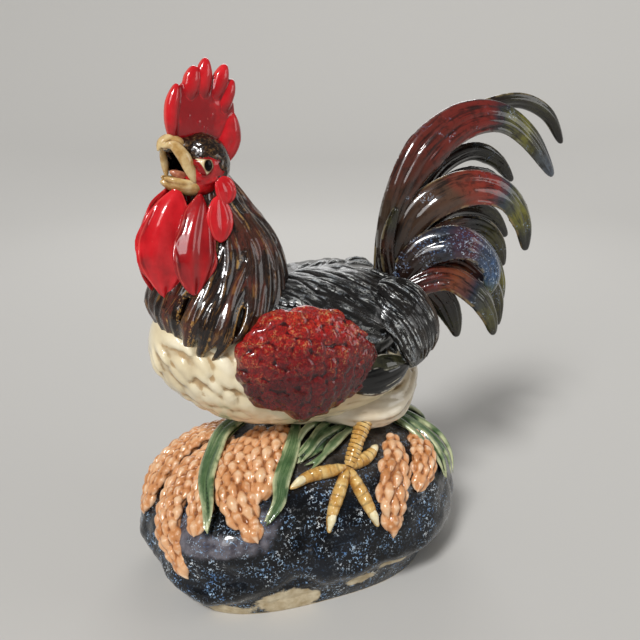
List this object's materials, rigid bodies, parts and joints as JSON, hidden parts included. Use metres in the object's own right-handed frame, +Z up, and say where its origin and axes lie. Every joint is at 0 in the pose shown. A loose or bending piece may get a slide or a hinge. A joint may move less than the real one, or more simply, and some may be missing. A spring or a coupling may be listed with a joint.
{
  "type": "rooster figurine",
  "caption": "Glazed ceramic rooster crowing on a dark rock overgrown with ripe rice and leaves, with arching tail feathers and a flat foot rim to stand on.",
  "frame": {"origin": "on the table, below the middle of the figure's bounding box", "axes": "+X from the head to the tail, +Y towards the bird's right side, +Z up"},
  "size_m": [0.3786, 0.1844, 0.4],
  "materials": {
    "rock_glaze": "blue-black glaze with white speckles, unglazed cream patches at the foot",
    "cream_glaze": "cream glaze over modelled feathers",
    "red_glaze": "bright red gloss glaze",
    "ochre_glaze": "ochre glaze pooled brown in the grooves",
    "eye_glaze": "cream gloss glaze with a grey ring and a dark pupil",
    "hackle_glaze": "dark brown glaze with gold edges to the strands",
    "wing_glaze": "dark red glaze with orange flecks over modelled feathers",
    "flight_glaze": "black gloss glaze with thin pale lines",
    "saddle_glaze": "near-black glaze streaked silver white",
    "tail_glaze": "brown, maroon and blue-white speckled glaze with olive tips",
    "grain_glaze": "apricot to brown glaze over modelled grains",
    "leaf_glaze": "olive green glaze with pale edges"
  },
  "bodies": {
    "root": {"rock_base": "rock_glaze", "body_shell": "cream_glaze", "tongue": "red_glaze", "beak_upper": "ochre_glaze", "beak_lower": "ochre_glaze", "head": "red_glaze", "eye_left": "eye_glaze", "eye_right": "eye_glaze", "comb": "red_glaze", "wattle_left": "red_glaze", "jowl_left": "red_glaze", "ear_lobe_left": "red_glaze", "cheek_lobe_left": "red_glaze", "wattle_right": "red_glaze", "jowl_right": "red_glaze", "ear_lobe_right": "red_glaze", "cheek_lobe_right": "red_glaze", "neck_hackle": "hackle_glaze", "wing_left": "wing_glaze", "flight_feathers_left": "flight_glaze", "wing_right": "wing_glaze", "flight_feathers_right": "flight_glaze", "saddle": "saddle_glaze", "saddle_hackle_left": "saddle_glaze", "saddle_hackle_right": "saddle_glaze", "rear_fluff": "cream_glaze", "sickle_left": "tail_glaze", "sickle_right": "tail_glaze", "tail_spike": "tail_glaze", "tail_feather_1": "tail_glaze", "tail_feather_2": "tail_glaze", "tail_feather_3": "tail_glaze", "tail_feather_4": "tail_glaze", "tail_feather_5": "tail_glaze", "tail_feather_6": "tail_glaze", "tail_feather_7": "tail_glaze", "tail_feather_8": "tail_glaze", "tail_feather_9": "tail_glaze", "tail_feather_10": "tail_glaze", "tail_feather_11": "tail_glaze", "foot_left": "ochre_glaze", "leg_left": "ochre_glaze", "foot_right": "ochre_glaze", "leg_right": "ochre_glaze", "rice_ear_1": "grain_glaze", "rice_ear_2": "grain_glaze", "rice_ear_3": "grain_glaze", "rice_ear_4": "grain_glaze", "rice_ear_5": "grain_glaze", "rice_ear_6": "grain_glaze", "rice_ear_7": "grain_glaze", "rice_ear_8": "grain_glaze", "rice_ear_9": "grain_glaze", "leaf_front": "leaf_glaze", "leaf_middle": "leaf_glaze", "leaf_side": "leaf_glaze", "leaf_rear": "leaf_glaze", "leaf_back": "leaf_glaze", "leaf_tail": "leaf_glaze"}
  },
  "joints": []
}
